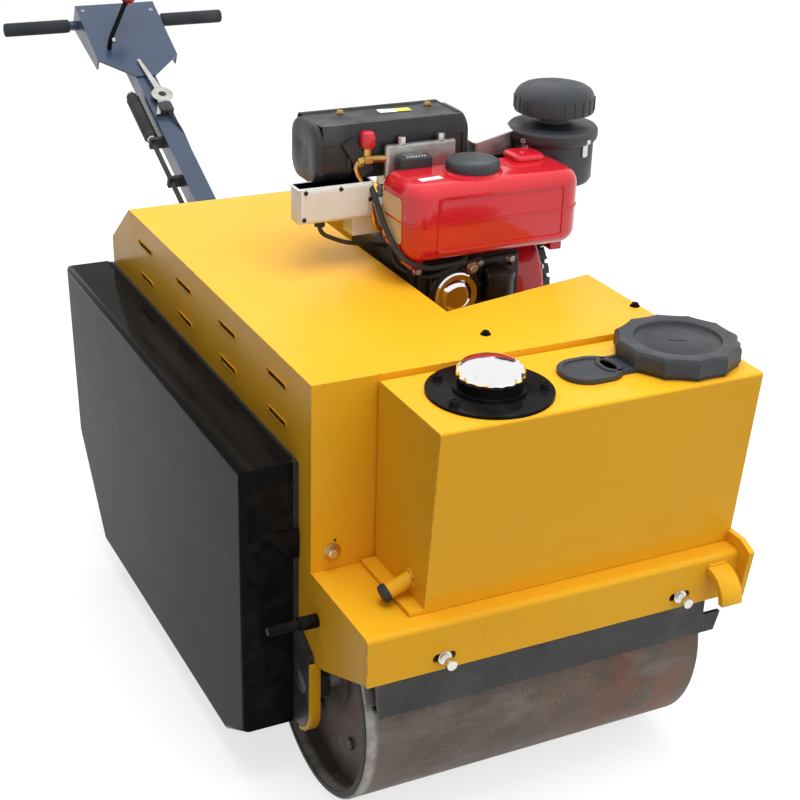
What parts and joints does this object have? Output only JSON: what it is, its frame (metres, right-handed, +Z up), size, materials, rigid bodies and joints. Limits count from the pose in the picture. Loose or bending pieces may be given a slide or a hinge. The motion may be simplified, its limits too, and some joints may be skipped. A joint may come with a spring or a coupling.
{
  "type": "walk-behind roller",
  "caption": "Walk-behind double-drum roller with a black drive cover, folded yellow hood, front tank, open air-cooled engine and a hinged handle with a console.",
  "frame": {"origin": "middle of the machine's footprint box, on the ground", "axes": "+X to the right as seen from the front, +Y to the rear towards the handle, +Z up"},
  "size_m": [0.855, 2.3506, 1.03],
  "materials": {
    "yellow_paint": "glossy enamel on bent sheet",
    "black_paint": "glossy black enamel",
    "frame_black": "dull black paint",
    "drum_steel": "worn rolling surface with brown rust",
    "axle_steel": "turned steel",
    "zinc": "zinc plated",
    "chrome": "polished chrome",
    "black_plastic": "moulded, satin",
    "rubber": "matt rubber",
    "foam": "closed-cell foam sleeve",
    "engine_black": "black engine paint on castings",
    "engine_grey": "cast aluminium, greyed",
    "engine_red": "glossy red enamel",
    "muffler_black": "heat-resistant satin black",
    "sheet_white": "bright sheet, blank plate",
    "handle_blue_black": "blue-black powder coat"
  },
  "bodies": {
    "frame": {"bearings_left": "frame_black", "bearings_right": "frame_black", "drive_plate_left": "frame_black", "side_plate_right": "frame_black", "side_cover": "black_paint", "rail_left": "yellow_paint", "rail_right": "yellow_paint", "floor_plate": "yellow_paint", "bumper_front": "yellow_paint", "bumper_rear": "yellow_paint", "hood": "yellow_paint", "rear_housing": "yellow_paint", "front_tank": "yellow_paint", "breather_flange": "black_paint", "breather_knob": "chrome", "filler_cap": "black_plastic", "drain_pipe": "yellow_paint", "drain_cap": "rubber", "scraper_front": "frame_black", "scraper_rear": "frame_black", "scraper_studs": "zinc", "tie_hook": "yellow_paint", "plate_bracket": "yellow_paint", "engine_bed": "yellow_paint", "engine_mounts": "rubber", "engine_block": "engine_black", "engine_head": "engine_grey", "fuel_tank": "engine_red", "fuel_cap": "black_plastic", "muffler": "muffler_black", "air_cleaner": "black_plastic", "recoil_shroud": "engine_red", "recoil_ring": "black_plastic", "terminal_box": "sheet_white", "handle_bracket": "handle_blue_black", "handle_pin": "zinc"},
    "front_roll": {"drum_front": "drum_steel", "axle_front": "axle_steel"},
    "rear_roll": {"drum_rear": "drum_steel", "axle_rear": "axle_steel"},
    "handle": {"handle_arm": "handle_blue_black", "console": "handle_blue_black", "handlebar": "handle_blue_black", "grip_left": "foam", "grip_right": "foam", "travel_lever": "engine_red", "damper": "black_paint"}
  },
  "joints": [
    {"name": "front_roll_spin", "type": "hinge", "parent": "frame", "child": "front_roll", "pos_m": [0, -0.89634, 0.2], "axis": [1, 0, 0], "continuous": true},
    {"name": "rear_roll_spin", "type": "hinge", "parent": "frame", "child": "rear_roll", "pos_m": [0, -0.14634, 0.2], "axis": [1, 0, 0], "continuous": true},
    {"name": "handle_lift", "type": "hinge", "parent": "frame", "child": "handle", "pos_m": [0, 0.16866, 0.405], "axis": [1, 0, 0], "range_deg": [0, 65]}
  ]
}
